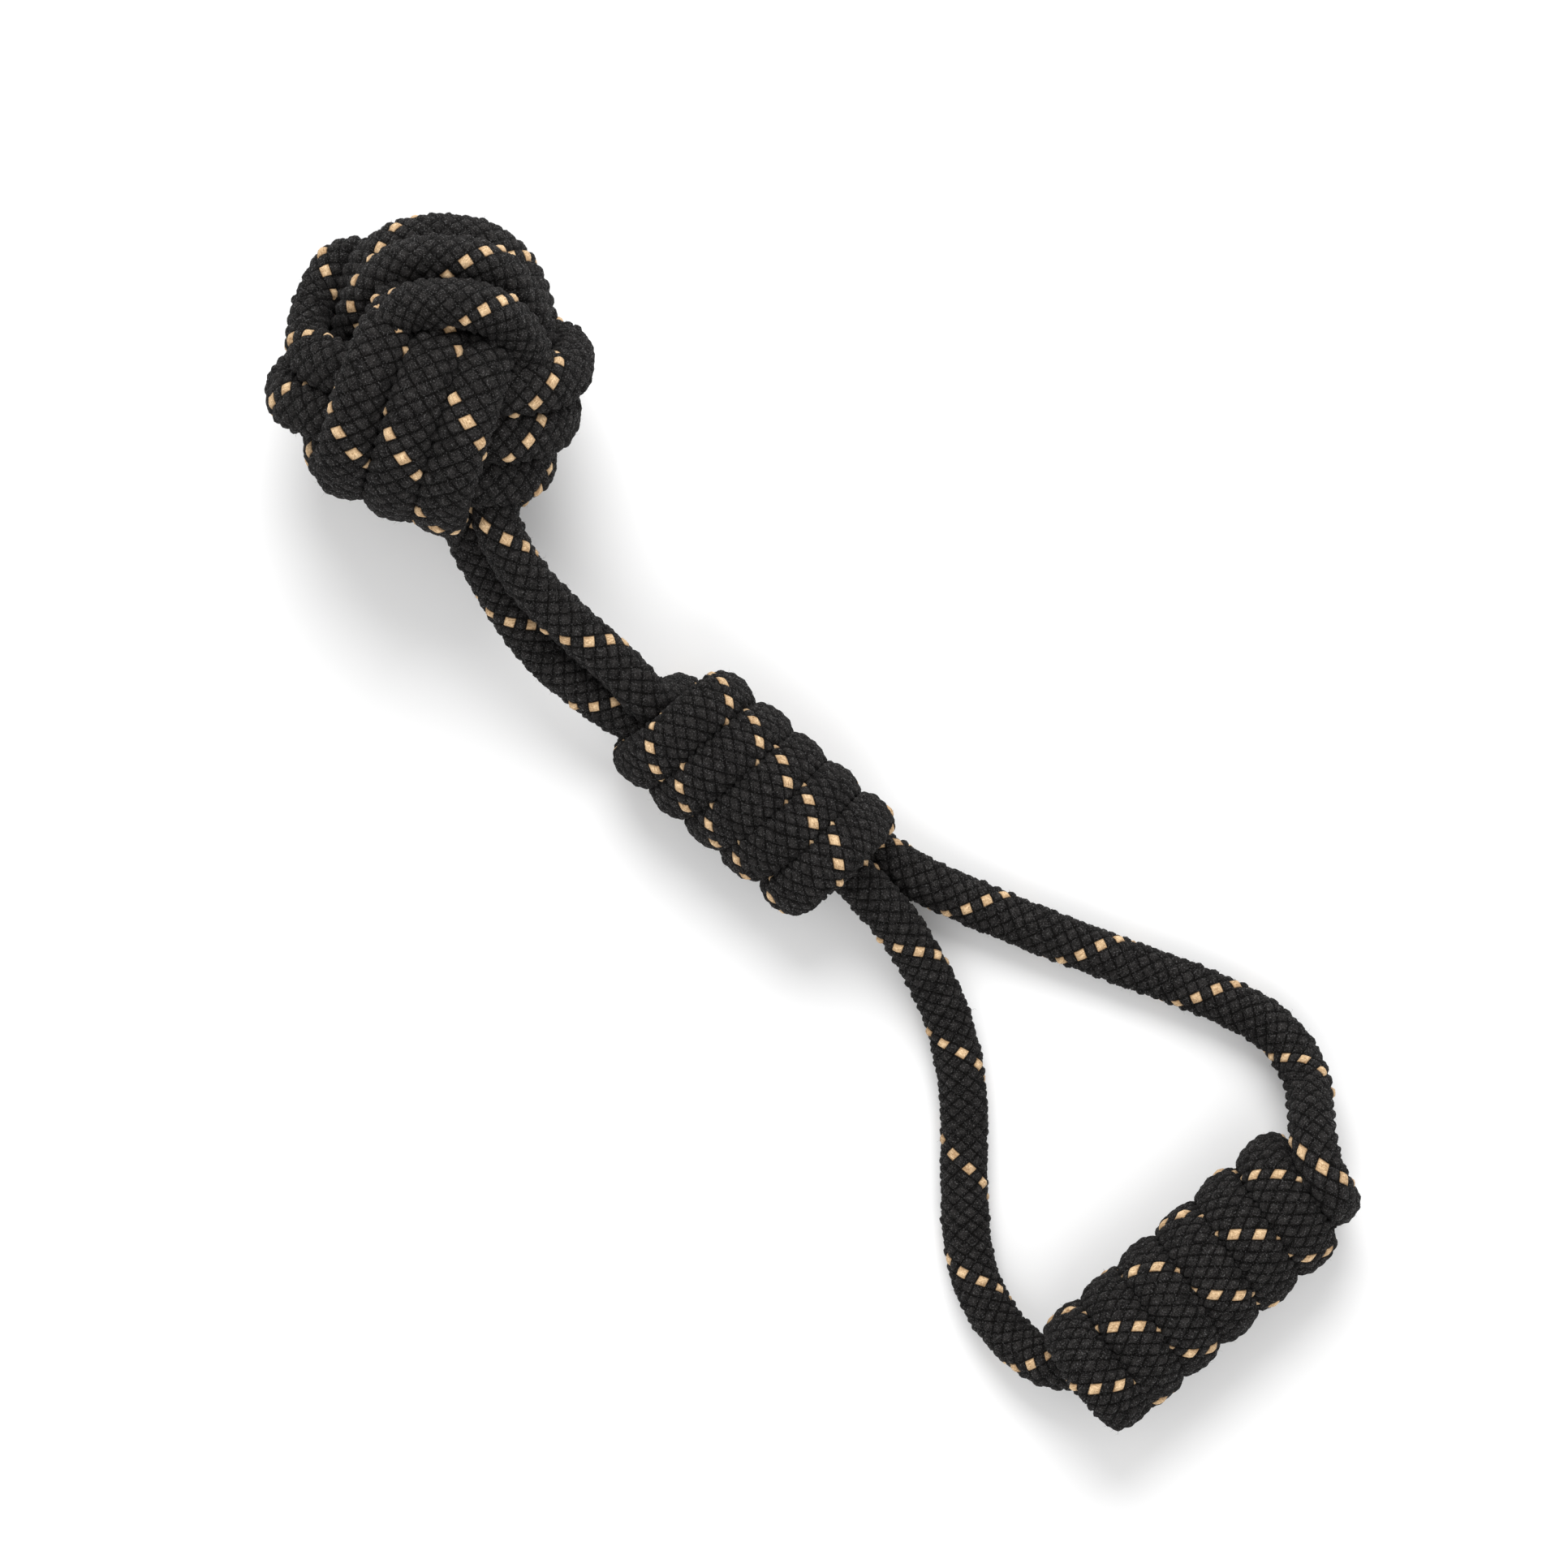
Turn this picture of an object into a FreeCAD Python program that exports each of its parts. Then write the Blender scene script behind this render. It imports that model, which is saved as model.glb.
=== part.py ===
import FreeCAD, Part

import math
import os

# A rope tug toy: a monkey's fist ball, a neck of two strands, a barrel of five turns
# wound round one strand, two legs that spread into a hand loop, and a wound grip.
# It is all one braided rope. Each named stretch of it is a solid of its own.
#
# Frame, in mm: +X from the ball to the grip, +Z up, origin under the middle of the toy
# on the surface that it lies on.

Vector = FreeCAD.Vector

# Driving dimensions
ROPE = 13.0                        # diameter of the braided rope
SLACK = 0.3                        # gap left between turns that lie against each other

FIST_CENTRE = (-146.8, -3.5)       # middle of the ball, seen from above
FIST_SPACING = 12.0                # rope's centre to the next rope's centre in the fist
FIST_OUTWARD = Vector(0.190, -0.391, 0.900)    # way that the uprights' face looks
FIST_SIDEWAYS = Vector(0.830, 0.550, 0.050)    # way that the belt's face looks
TURNS_IN_A_PASS = 3

BARREL_CENTRE = (-5.5, -10.7)      # middle of the barrel, seen from above
BARREL_SWING = 8.2                 # angle of its axis from +X, in degrees
BARREL_TURNS = 5
BARREL_PITCH = 12.9
BARREL_WINDING = 14.2              # radius that the turns' middles lie on
BARREL_TURN_ROPE = 12.4            # rope's diameter where it is pulled tight in the turns
BARREL_CORE_HALF = 36.0            # half the length of the strand inside
BARREL_OVER = 0.55                 # share of its pitch that a turn makes on top

GRIP_X = 171.0                     # the grip's axis is parallel to Y, at this X
GRIP_START_Y = 34.5                # first turn leaves the +X side here
GRIP_TURNS = 6
GRIP_PITCH = 13.47
GRIP_WINDING = 12.4
GRIP_TURN_ROPE = 11.5
GRIP_OVER = 0.1                    # share of its pitch that a turn makes on top
GRIP_CORE_ROPE = 12.6              # the strand inside, pressed thinner by the turns
GRIP_CORE_INSET = 2.0              # the strand inside stops this far short of the turns
SEAL = 3.0                         # length of a rope end's heat seal

# Routes of the free strands, as points that their straight runs join
NECK_WRAP_STRAND = [(-101.0, -16.5, 50.0), (-87.5, -20.2, 43.8),
                    (-69.0, -19.8, 34.9), (-48.0, -11.4, 28.6)]
NECK_CORE_STRAND = [(-99.0, -27.5, 38.5), (-86.5, -29.5, 32.0),
                    (-69.0, -30.4, 25.0), (-43.0, -22.7, 20.8)]
RIGHT_LEG = [(33.0, 5.0, 12.5), (56.0, 15.0, 8.0), (85.5, 29.5, 6.5), (115.5, 45.0, 6.5),
             (134.0, 53.0, 6.8), (147.0, 51.0, 12.5), (157.5, 41.0, 27.5),
             (172.0, 35.8, 34.9), (183.2, 34.8, 30.5), (183.4, 34.7, 20.0)]
LEFT_LEG = [(34.0, -7.5, 19.0), (53.0, -4.5, 13.5), (74.5, -10.5, 8.0), (92.0, -21.5, 6.5),
            (109.0, -36.5, 6.5), (127.0, -48.8, 7.0), (142.0, -53.2, 8.8),
            (149.5, -53.2, 10.0)]
RIGHT_LEG_SPLIT = 2                # run on which each leg's near and far halves meet
LEFT_LEG_SPLIT = 3
SPLIT_GAP = 0.4
FOLD_AXIS = (134.0, 8.5)           # X and Z of the line that the grip folds about
FOLD_REACH = 22.0                  # the right leg's far half ends this far from it

BEND_SHARE = 0.45                  # arc's length of run, as a share of the shorter run


def unit(vector):
    return Vector(vector).normalize()


def section_at(point, direction, diameter):
    """A round face across the rope."""
    circle = Part.Circle(point, direction, diameter / 2)
    return Part.Face(Part.Wire(circle.toShape()))


def bend(before, corner, after):
    """Start, middle and end of the arc that rounds a corner, and its radius."""
    back = unit(before - corner)
    ahead = unit(after - corner)
    shorter = min((before - corner).Length, (after - corner).Length)
    trim = BEND_SHARE * shorter
    half_turn = (math.pi - back.getAngle(ahead)) / 2
    radius = trim / math.tan(half_turn)
    inward = unit(back + ahead)
    to_centre = math.hypot(trim, radius)
    middle = corner + inward * (to_centre - radius)
    return corner + back * trim, middle, corner + ahead * trim, radius


def route_edges(points):
    """Straight runs joined by tangent arcs through a list of points."""
    points = [Vector(*p) for p in points]
    edges = []
    radii = []
    here = points[0]
    for before, corner, after in zip(points, points[1:], points[2:]):
        start, middle, end, radius = bend(before, corner, after)
        edges.append(Part.LineSegment(here, start).toShape())
        edges.append(Part.Arc(start, middle, end).toShape())
        radii.append(radius)
        here = end
    edges.append(Part.LineSegment(here, points[-1]).toShape())
    return edges, radii


def swept(edges, diameter):
    """A round rope along edges that run smoothly into each other."""
    path = Part.Wire(edges)
    start = edges[0].valueAt(edges[0].FirstParameter)
    direction = edges[0].tangentAt(edges[0].FirstParameter)
    return path.makePipe(section_at(start, direction, diameter))


def half_space(point, direction, size=400.0):
    """A block on the side of a plane that direction points to."""
    block = Part.makeBox(size, size, size, Vector(-size / 2, -size / 2, 0))
    block.Placement = FreeCAD.Placement(point, FreeCAD.Rotation(Vector(0, 0, 1), direction))
    return block


def strand(name, points, diameter=ROPE):
    """A free stretch of rope along its route."""
    edges, radii = route_edges(points)
    solid = swept(edges, diameter)
    length = sum(edge.Length for edge in edges)
    expected = math.pi * diameter ** 2 / 4 * length
    print(name, "length %.1f" % length, "radii", ["%.0f" % r for r in radii],
          "volume / expected %.4f" % (solid.Volume / expected))
    return solid


def leg(name, points, split):
    """A leg's near and far halves, cut square across the run number split."""
    whole = strand(name, points)
    first = Vector(*points[split])
    second = Vector(*points[split + 1])
    along = unit(second - first)
    middle = (first + second) / 2
    near = whole.cut(half_space(middle - along * SPLIT_GAP / 2, along))
    far = whole.cut(half_space(middle + along * SPLIT_GAP / 2, -along))
    return near, far


def lead(far):
    """The far half of the right leg, and its end that climbs over the grip.

    The cut follows a cylinder about the line that the grip folds on."""
    width = 2 * ROPE
    start = Vector(FOLD_AXIS[0], GRIP_START_Y - ROPE, FOLD_AXIS[1])
    corner = start - Vector(0, 0, 2 * FOLD_REACH)
    beyond = Part.makeBox(4 * FOLD_REACH, 2 * width, 4 * FOLD_REACH, corner)
    reach = Part.makeCylinder(FOLD_REACH, 2 * width, start, Vector(0, 1, 0))
    clear = Part.makeCylinder(FOLD_REACH + SPLIT_GAP, 2 * width, start, Vector(0, 1, 0))
    return far.cut(beyond.cut(reach)), far.common(beyond.cut(clear))


def fist_turn(offset, normal, outer, inner):
    """One closed turn: it lies outside another pass along outer, and inside along inner."""
    high = 3 * FIST_SPACING
    wide = 2 * FIST_SPACING
    corner = FIST_SPACING
    middle = normal * offset
    edges = []
    corners = [(1, 1), (1, -1), (-1, -1), (-1, 1)]
    for n, (up, side) in enumerate(corners):
        over = outer * up
        across = inner * side
        hub = middle + over * (high - corner) + across * (wide - corner)
        top = hub + over * corner
        flank = hub + across * corner
        knee = hub + (over + across) * (corner / math.sqrt(2))
        start, end = (flank, top) if n % 2 == 0 else (top, flank)
        if edges:
            last = edges[-1].valueAt(edges[-1].LastParameter)
            edges.append(Part.LineSegment(last, start).toShape())
        edges.append(Part.Arc(start, knee, end).toShape())
    last = edges[-1].valueAt(edges[-1].LastParameter)
    first = edges[0].valueAt(edges[0].FirstParameter)
    edges.append(Part.LineSegment(last, first).toShape())
    return edges


def fist(shapes):
    """Three passes of three turns, each pass over one and under the other, and the core."""
    front = unit(FIST_OUTWARD)
    side = unit(FIST_SIDEWAYS - front * FIST_SIDEWAYS.dot(front))
    crown = front.cross(side)
    passes = {"upright": (side, front, crown),
              "crown": (front, crown, side),
              "belt": (crown, side, front)}
    rope = FIST_SPACING - SLACK
    made = {}
    for name, (normal, outer, inner) in passes.items():
        for n in range(TURNS_IN_A_PASS):
            offset = (n - (TURNS_IN_A_PASS - 1) / 2) * FIST_SPACING
            edges = fist_turn(offset, normal, outer, inner)
            made["fist_%s_turn_%d" % (name, n + 1)] = swept(edges, rope)
    core_radius = 2 * FIST_SPACING - rope / 2 - SLACK
    made["fist_core_ball"] = Part.makeSphere(core_radius)
    lowest = min(shape.optimalBoundingBox().ZMin for shape in made.values())
    place = Vector(FIST_CENTRE[0], FIST_CENTRE[1], -lowest)
    for name, shape in made.items():
        shape.translate(place)
        shapes[name] = shape


def winding_edges(start, advance, over, side, turns):
    """Half turns that run smoothly into each other, under and then over an axis.

    start is on the axis, advance is one pitch along it, over is the share of the pitch
    that is made on top, and side is from the axis to where the winding begins."""
    edges = []
    down = Vector(0, 0, -1)
    here = start
    for n in range(2 * turns):
        sign = 1 if n % 2 == 0 else -1
        share = 1 - over if n % 2 == 0 else over
        there = here + advance * share
        first = here + side * sign
        last = there - side * sign
        middle = (first + last) / 2 + down * (sign * (last - first).Length / 2)
        edges.append(Part.Arc(first, middle, last).toShape())
        here = there
    return edges


def winding_height(radius, pitch, over, rope):
    """Height of a winding's axis when its lower half turns lie on the surface."""
    return math.hypot(2 * radius, pitch * (1 - over)) / 2 + rope / 2


def barrel(shapes):
    """The barrel: turns round one strand of the rope."""
    swing = math.radians(BARREL_SWING)
    along = Vector(math.cos(swing), math.sin(swing), 0)
    across = Vector(-math.sin(swing), math.cos(swing), 0)
    height = winding_height(BARREL_WINDING, BARREL_PITCH, BARREL_OVER, BARREL_TURN_ROPE)
    centre = Vector(BARREL_CENTRE[0], BARREL_CENTRE[1], height)
    ahead = BARREL_PITCH * (BARREL_TURNS + 1 - BARREL_OVER) / 2
    edges = winding_edges(centre - along * ahead, along * BARREL_PITCH, BARREL_OVER,
                          across * BARREL_WINDING, BARREL_TURNS)
    for n in range(BARREL_TURNS):
        turn = edges[2 * n:2 * n + 2]
        shapes["barrel_turn_%d" % (n + 1)] = swept(turn, BARREL_TURN_ROPE)
    shapes["barrel_core_strand"] = Part.makeCylinder(
        ROPE / 2, 2 * BARREL_CORE_HALF, centre - along * BARREL_CORE_HALF, along)


def grip(shapes):
    """The grip: turns round the last stretch of the rope, with both rope ends inside."""
    height = winding_height(GRIP_WINDING, GRIP_PITCH, GRIP_OVER, GRIP_TURN_ROPE)
    back = Vector(0, -1, 0)
    side = Vector(1, 0, 0)
    start = Vector(GRIP_X, GRIP_START_Y, height)
    edges = winding_edges(start, back * GRIP_PITCH, GRIP_OVER, side * GRIP_WINDING,
                          GRIP_TURNS)
    for n in range(GRIP_TURNS):
        turn = edges[2 * n:2 * n + 2]
        shapes["grip_turn_%d" % (n + 1)] = swept(turn, GRIP_TURN_ROPE)
    length = GRIP_TURNS * GRIP_PITCH - 2 * GRIP_CORE_INSET - SEAL
    seal_start = start + back * GRIP_CORE_INSET
    radius = GRIP_CORE_ROPE / 2
    shapes["grip_core_end_seal"] = Part.makeCylinder(radius, SEAL, seal_start, back)
    shapes["grip_core_strand"] = Part.makeCylinder(
        radius, length, seal_start + back * SEAL, back)
    wrap_end = start + back * (GRIP_TURNS * GRIP_PITCH) + side * GRIP_WINDING
    shapes["grip_wrap_end_seal"] = Part.makeCylinder(
        GRIP_TURN_ROPE / 2, SEAL, wrap_end, Vector(0, 0, -1))


def strands(shapes):
    """The free stretches between the knots."""
    shapes["neck_wrap_strand"] = strand("neck_wrap_strand", NECK_WRAP_STRAND)
    shapes["neck_core_strand"] = strand("neck_core_strand", NECK_CORE_STRAND)
    near, far = leg("right leg", RIGHT_LEG, RIGHT_LEG_SPLIT)
    shapes["right_leg_near"] = near
    shapes["right_leg_far"], shapes["grip_lead_strand"] = lead(far)
    near, far = leg("left leg", LEFT_LEG, LEFT_LEG_SPLIT)
    shapes["left_leg_near"] = near
    shapes["left_leg_far"] = far


def single_solid(name, shape):
    """The shape's one solid, checked."""
    solids = shape.Solids
    if len(solids) != 1 or not solids[0].isValid() or solids[0].Volume <= 0:
        raise ValueError("%s is %d solids" % (name, len(solids)))
    return solids[0]


def main():
    shapes = {}
    fist(shapes)
    strands(shapes)
    barrel(shapes)
    grip(shapes)
    os.makedirs("parts", exist_ok=True)
    box = FreeCAD.BoundBox()
    for name, shape in shapes.items():
        solid = single_solid(name, shape)
        box.add(solid.optimalBoundingBox())
        solid.exportStep("parts/%s.step" % name)
    print("solids", len(shapes))
    print("box X %.2f to %.2f, Y %.2f to %.2f, Z %.2f to %.2f"
          % (box.XMin, box.XMax, box.YMin, box.YMax, box.ZMin, box.ZMax))


main()
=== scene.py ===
import math

import bpy
import numpy as np
from mathutils import Matrix


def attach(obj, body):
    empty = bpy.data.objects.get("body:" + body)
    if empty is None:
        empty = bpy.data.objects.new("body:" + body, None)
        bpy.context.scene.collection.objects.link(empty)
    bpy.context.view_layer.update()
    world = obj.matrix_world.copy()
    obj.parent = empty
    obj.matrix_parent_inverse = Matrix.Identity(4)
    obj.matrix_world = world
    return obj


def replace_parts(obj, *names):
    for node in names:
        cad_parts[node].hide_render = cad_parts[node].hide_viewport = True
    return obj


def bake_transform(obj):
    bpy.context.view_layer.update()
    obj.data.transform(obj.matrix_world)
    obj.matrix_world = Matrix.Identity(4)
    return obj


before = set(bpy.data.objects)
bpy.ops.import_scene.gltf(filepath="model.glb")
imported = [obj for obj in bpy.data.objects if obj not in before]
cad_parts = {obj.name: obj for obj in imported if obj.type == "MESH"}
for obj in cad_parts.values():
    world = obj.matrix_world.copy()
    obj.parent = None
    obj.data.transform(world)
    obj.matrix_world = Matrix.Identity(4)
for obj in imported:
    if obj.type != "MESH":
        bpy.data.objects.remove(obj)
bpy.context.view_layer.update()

# Lengths are in mm, and become metres where they are handed to Blender or to the frame.
MM = 0.001
UPWARD = (0.0, 0.0, 1.0)

# ---------------------------------------------------------------- camera

CENTRE = (-1.8, -3.7, 20.0)      # what the middle of the picture looks at
HEIGHT = 3000.0                  # of the camera over that point
PICTURE = 422.1                  # width of the picture at that point
SENSOR = 36.0
RIGHT = (0.6566, 0.7542, 0.0)
UP = (-0.7542, 0.6566, 0.0)


def placed(columns):
    """A matrix from its columns: the local axes and the place, in metres."""
    rows = [[column[i] for column in columns] for i in range(3)]
    return Matrix(rows + [[0.0, 0.0, 0.0, 1.0]])


def make_camera():
    data = bpy.data.cameras.new("camera")
    data.sensor_width = SENSOR
    data.lens = SENSOR * HEIGHT / PICTURE
    data.clip_start = 0.1
    data.clip_end = 50.0
    camera = bpy.data.objects.new("camera", data)
    bpy.context.scene.collection.objects.link(camera)
    x, y, z = CENTRE
    camera.matrix_world = placed((RIGHT, UP, UPWARD, (x * MM, y * MM, (z + HEIGHT) * MM)))
    bpy.context.scene.camera = camera


make_camera()

# ---------------------------------------------------------------- lines


def unit(v):
    return v / np.linalg.norm(v, axis=-1, keepdims=True)


def nurbs_line(points):
    """Points close together on the smooth route that has these control points."""
    curve = bpy.data.curves.new("route", "CURVE")
    curve.dimensions = "3D"
    curve.resolution_u = 40
    spline = curve.splines.new("NURBS")
    spline.points.add(len(points) - 1)
    for point, place in zip(spline.points, points):
        point.co = (*place, 1.0)
    spline.order_u = 3
    spline.use_endpoint_u = True
    holder = bpy.data.objects.new("route", curve)
    mesh = bpy.data.meshes.new_from_object(holder)
    line = np.array([v.co for v in mesh.vertices])
    bpy.data.meshes.remove(mesh)
    bpy.data.objects.remove(holder)
    bpy.data.curves.remove(curve)
    return line


def carried(line, first):
    """A normal at each point of the line, carried along it without twisting."""
    tangents = unit(np.gradient(line, axis=0))
    normals = np.empty_like(line)
    normal = np.array(first, float)
    for i, tangent in enumerate(tangents):
        normal = unit(normal - tangent * (normal @ tangent))
        normals[i] = normal
    return normals


def lengths(line):
    """Length along the line up to each of its points."""
    return np.concatenate([[0.0], np.cumsum(np.linalg.norm(np.diff(line, axis=0), axis=1))])


def sampled(line, at, where):
    """The line, whose points are at these lengths, read at other lengths."""
    return np.stack([np.interp(where, at, line[:, k]) for k in range(3)], axis=1)


def worn_length(line, tangents, outside):
    """Length along the line's outer side, where it bends, up to each of its points."""
    at = lengths(line)
    turn = np.linalg.norm(np.gradient(tangents, axis=0), axis=1)
    rate = 1.0 + outside * turn / np.maximum(np.gradient(at), 1e-9)
    return np.concatenate([[0.0], np.cumsum(np.diff(at) * (rate[1:] + rate[:-1]) / 2)])


def ring_tangents(line):
    """Directions along a closed line at its points, without its last, repeated one."""
    return unit(np.roll(line[:-1], -1, 0) - np.roll(line[:-1], 1, 0))


def nearest(line, x, y, low=-math.inf):
    """How far along the line its point above low is that lies nearest to (x, y)."""
    gap = np.hypot(line[:, 0] - x, line[:, 1] - y)
    gap[line[:, 2] < low] = math.inf
    return lengths(line)[np.argmin(gap)]


def wobble(at, seed, wave=21.0):
    """A slow, smooth unevenness along the rope, about -1 to 1."""
    rng = np.random.default_rng(seed)
    total = np.zeros_like(at)
    for share in (1.0, 0.63, 0.41):
        total += np.sin(2 * math.pi * at / (wave * share) + rng.uniform(0, 2 * math.pi))
    return total / 2.2


# ---------------------------------------------------------------- mesh of a braided rope

ROPE = 13.0                # diameter
CORE_ROPE = 12.4           # diameter where windings press on it
PITCH = 32.5               # length in which a yarn goes once round the rope
YARNS = 8                  # yarns each way
TRACER = 0                 # number of the coloured yarn
STEPS = 4                  # mesh steps across a yarn
AROUND = 2 * YARNS * STEPS
HALF = AROUND // 2         # vertices in one ring: every other spoke
RELIEF = 0.85              # height of a yarn's crown over the groove beside it
SUNK = 0.75                # share of the relief that lies inside the rope's own size
FULL_ACROSS = 0.7          # fullness of a crown across and along the yarn: less is fuller
FULL_ALONG = 0.45
CROWN_SPREAD = 0.2         # unevenness of the crowns, as a share of their height
TRACER_RISE = 0.06         # extra height of the coloured yarn
ROUGHNESS = 0.055          # small unevenness of the surface
SWELL = 0.014              # slow unevenness of the rope's thickness, as a share of it
CROSSINGS = 997            # crossings along a yarn before its random heights repeat
OWN_CROSSING, OWN_YARN = 0.37, 5.1     # steps of the number that makes each yarn's fibres differ

FIBRES_PER_MM = 8.0        # loose fibres on each mm of rope
FIBRE_ROOT = 0.25          # depth at which a fibre starts
FIBRE_LEAN = 0.9           # spread of the fibres' directions
FIBRE_LONG, FIBRE_LONG_SPREAD = 0.85, 0.45
FIBRE_LONG_LIMITS = (0.35, 2.4)
FIBRE_BEND = 0.55          # share of its length at which a fibre bends, and how far
FIBRE_CURL = 0.75
FIBRE_THICK = (0.018, 0.03)
FIBRE_TAPER = 0.8


def braid(line, normals, closed=False, phase=0.0, pitch=PITCH, outside=0.0,
          wide=ROPE, high=ROPE, pressed=2.0, seed=0, cut=None):
    """A braided rope as one or two closed meshes, each followed by its loose fibres.

    A mesh is its vertices, quads, triangles, the quads' tracer flags and their corners'
    yarn coordinates. normals are the way that the rope's height is measured. phase is
    where along the rope, in mm, the tracer faces that way. outside is how far from the
    middle line the yarns keep their pitch in a bend. pressed is 2 for an oval section and
    more for one with flatter sides. cut is where along the rope it is divided in two."""
    rng = np.random.default_rng(seed)
    at = lengths(line)
    if closed:
        tangents = ring_tangents(line)
        tangents = np.vstack([tangents, tangents[:1]])
    else:
        tangents = unit(np.gradient(line, axis=0))
    material = worn_length(line, tangents, outside)
    if closed:
        pitch = material[-1] / max(1, round(material[-1] / pitch))
    step = pitch / AROUND
    count = int(round(material[-1] / step))
    if not closed:
        count += 1
    where = np.minimum(np.arange(count) * step, material[-1])
    middle = sampled(line, material, where)
    tangent = unit(sampled(tangents, material, where))
    normal = sampled(normals, material, where)
    normal = unit(normal - tangent * (normal * tangent).sum(1, keepdims=True))
    across = np.cross(tangent, normal)
    here = np.interp(where, material, at)
    phase = np.interp(phase, at, material)

    # a and b count mesh steps across the yarns of the two directions
    ring = np.repeat(np.arange(count), HALF).reshape(count, HALF)
    spoke = 2 * np.arange(HALF)[None, :] + ring % 2
    a = (spoke + ring) // 2
    b = (spoke - ring) // 2
    turn_by = 2 * math.pi * (phase / pitch - STEPS / AROUND)
    angle = 2 * math.pi * spoke / AROUND + turn_by

    i, j = a // STEPS, b // STEPS
    over = (i + j) % 2 == 0
    width = np.where(over, a % STEPS, b % STEPS) / STEPS
    length = np.where(over, b % STEPS, a % STEPS) / STEPS
    table = rng.normal(0.0, 1.0, (CROSSINGS, YARNS))
    chance = table[(i - j) % CROSSINGS, i % YARNS]
    crown = np.sin(math.pi * width) ** FULL_ACROSS * np.sin(math.pi * length) ** FULL_ALONG
    is_tracer = over & (i % YARNS == TRACER)
    height = RELIEF * crown * (1 + CROWN_SPREAD * chance) + TRACER_RISE * crown * is_tracer
    out = height + rng.normal(0.0, ROUGHNESS, spoke.shape)
    swell = 1.0 + SWELL * wobble(here, seed + 17)[:, None]
    swell = swell * (np.abs(np.cos(angle)) ** pressed
                     + np.abs(np.sin(angle)) ** pressed) ** (-1 / pressed)
    rise = (high / 2 - RELIEF * SUNK) * np.cos(angle) * swell
    reach = (wide / 2 - RELIEF * SUNK) * np.sin(angle) * swell
    up = (rise + out * np.cos(angle))[:, :, None]
    side = (reach + out * np.sin(angle))[:, :, None]
    places = middle[:, None, :] + normal[:, None, :] * up + across[:, None, :] * side
    radial = normal[:, None, :] * np.cos(angle)[:, :, None]
    radial = radial + across[:, None, :] * np.sin(angle)[:, :, None]

    if cut is None:
        spans = [(0, count - 1)]
    else:
        division = int(np.searchsorted(here, cut))
        spans = [(0, division + 1), (division, count - 1)]
    parts = []
    for first, last in spans:
        verts = places[first:last + 1].reshape(-1, 3)
        if not closed:
            verts = np.vstack([verts, middle[first], middle[last]])
        parts.append((verts, *braid_faces(first, last, closed)))
        parts.append(fuzz(places[first:last + 1], radial[first:last + 1],
                          tangent[first:last + 1], seed + 100 * len(parts)))
    return parts


def braid_faces(first, last, closed):
    """Quads, end triangles, tracer flags and yarn coordinates between two of a rope's rings.

    The coordinates are the place across the yarn, the place along it, and its own number."""
    rings = last - first + 1

    def index(ring, spoke):
        return ((ring - first) % rings) * HALF + (spoke % AROUND) // 2

    centres = np.arange(first, last + 1) if closed else np.arange(first + 1, last)
    r = np.repeat(centres, HALF)
    s = (2 * np.arange(HALF)[None, :] + (centres % 2)[:, None]).ravel()
    quads = np.stack([index(r, s), index(r - 1, s + 1),
                      index(r, s + 2), index(r + 1, s + 1)], 1)
    a, b = (s + r) // 2, (s - r) // 2
    i, j = a // STEPS, b // STEPS
    over = (i + j) % 2 == 0
    tracer = over & (i % YARNS == TRACER)
    # corners: (a, b), (a, b + 1), (a + 1, b + 1), (a + 1, b)
    corner_a = ((a % STEPS)[:, None] + np.array([0, 0, 1, 1])[None, :]) / STEPS
    corner_b = ((b % STEPS)[:, None] + np.array([0, 1, 1, 0])[None, :]) / STEPS
    width = np.where(over[:, None], corner_a, corner_b)
    length = np.where(over[:, None], corner_b, corner_a)
    own = ((i - j) % CROSSINGS) * OWN_CROSSING + (i % YARNS) * OWN_YARN
    yarn = np.stack([width, length, np.repeat(own[:, None], 4, 1)], axis=2)

    tris = []
    if not closed:
        hub = rings * HALF
        for n in range(HALF):
            s = 2 * n + first % 2
            rim = [index(first, s), index(first + 1, s + 1), index(first, s + 2)]
            tris += [(hub, two, one) for one, two in zip(rim, rim[1:])]
        for n in range(HALF):
            s = 2 * n + last % 2
            rim = [index(last, s), index(last - 1, s + 1), index(last, s + 2)]
            tris += [(hub + 1, one, two) for one, two in zip(rim, rim[1:])]
    return quads, np.array(tris, int).reshape(-1, 3), tracer, yarn


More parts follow.
